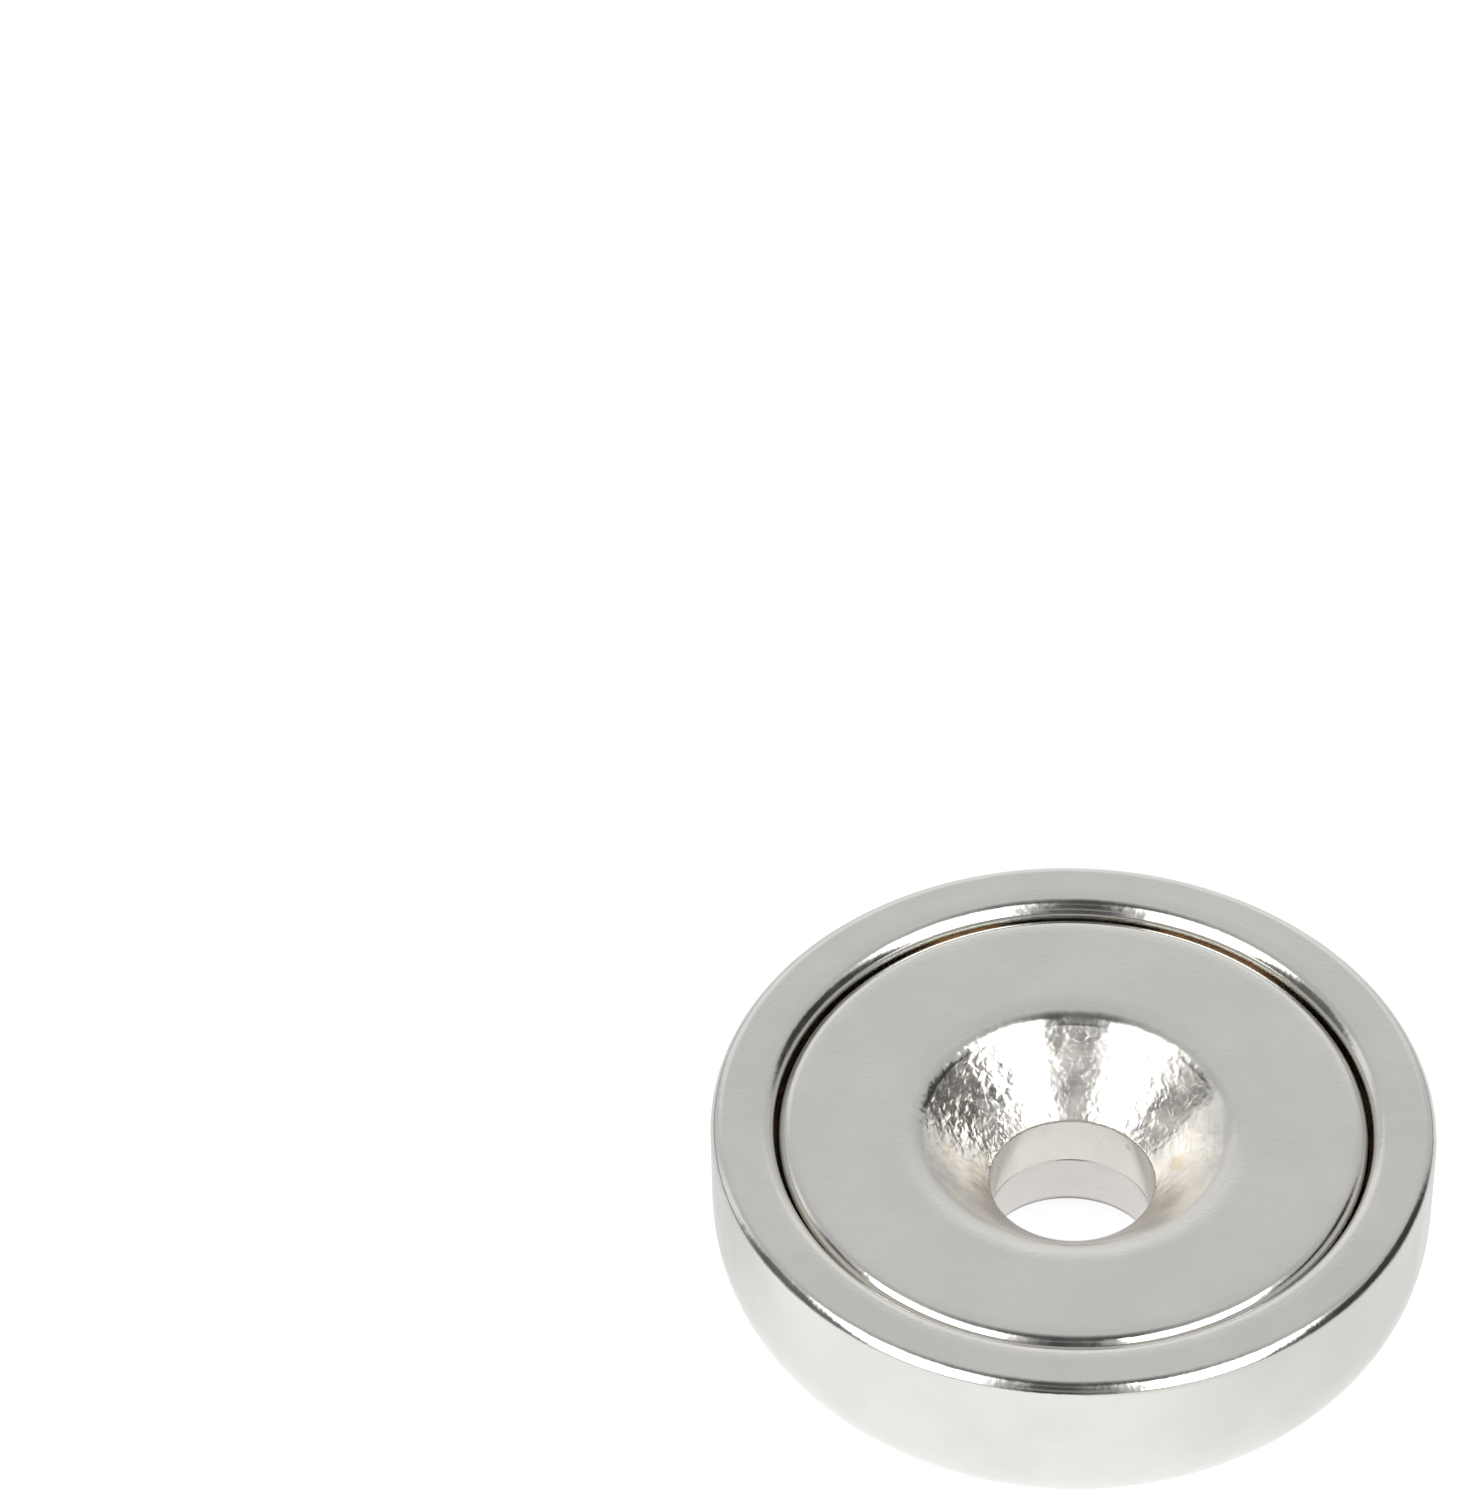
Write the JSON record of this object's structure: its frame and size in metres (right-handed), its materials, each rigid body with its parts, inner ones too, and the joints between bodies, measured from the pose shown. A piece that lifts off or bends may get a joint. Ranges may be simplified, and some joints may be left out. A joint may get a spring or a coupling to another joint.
{
  "type": "pot magnet",
  "caption": "Round pot magnet: a nickel-plated steel cup with a ring magnet bonded into it and a countersunk screw hole through its centre.",
  "frame": {"origin": "centre of the flat back face, on the axis of the screw hole, where the object rests", "axes": "+Z along the axis of the screw hole, from the back face towards the magnet's face; X and Y are equal, because the object is round"},
  "size_m": [0.025, 0.025, 0.0077],
  "materials": {
    "cup_nickel": "bright nickel plate over pressed and turned steel",
    "magnet_nickel": "nickel plate, satin over the ground face and bumpy in the countersink",
    "adhesive": "cured amber epoxy"
  },
  "bodies": {
    "root": {"cup": "cup_nickel", "magnet": "magnet_nickel", "adhesive": "adhesive"}
  },
  "joints": []
}
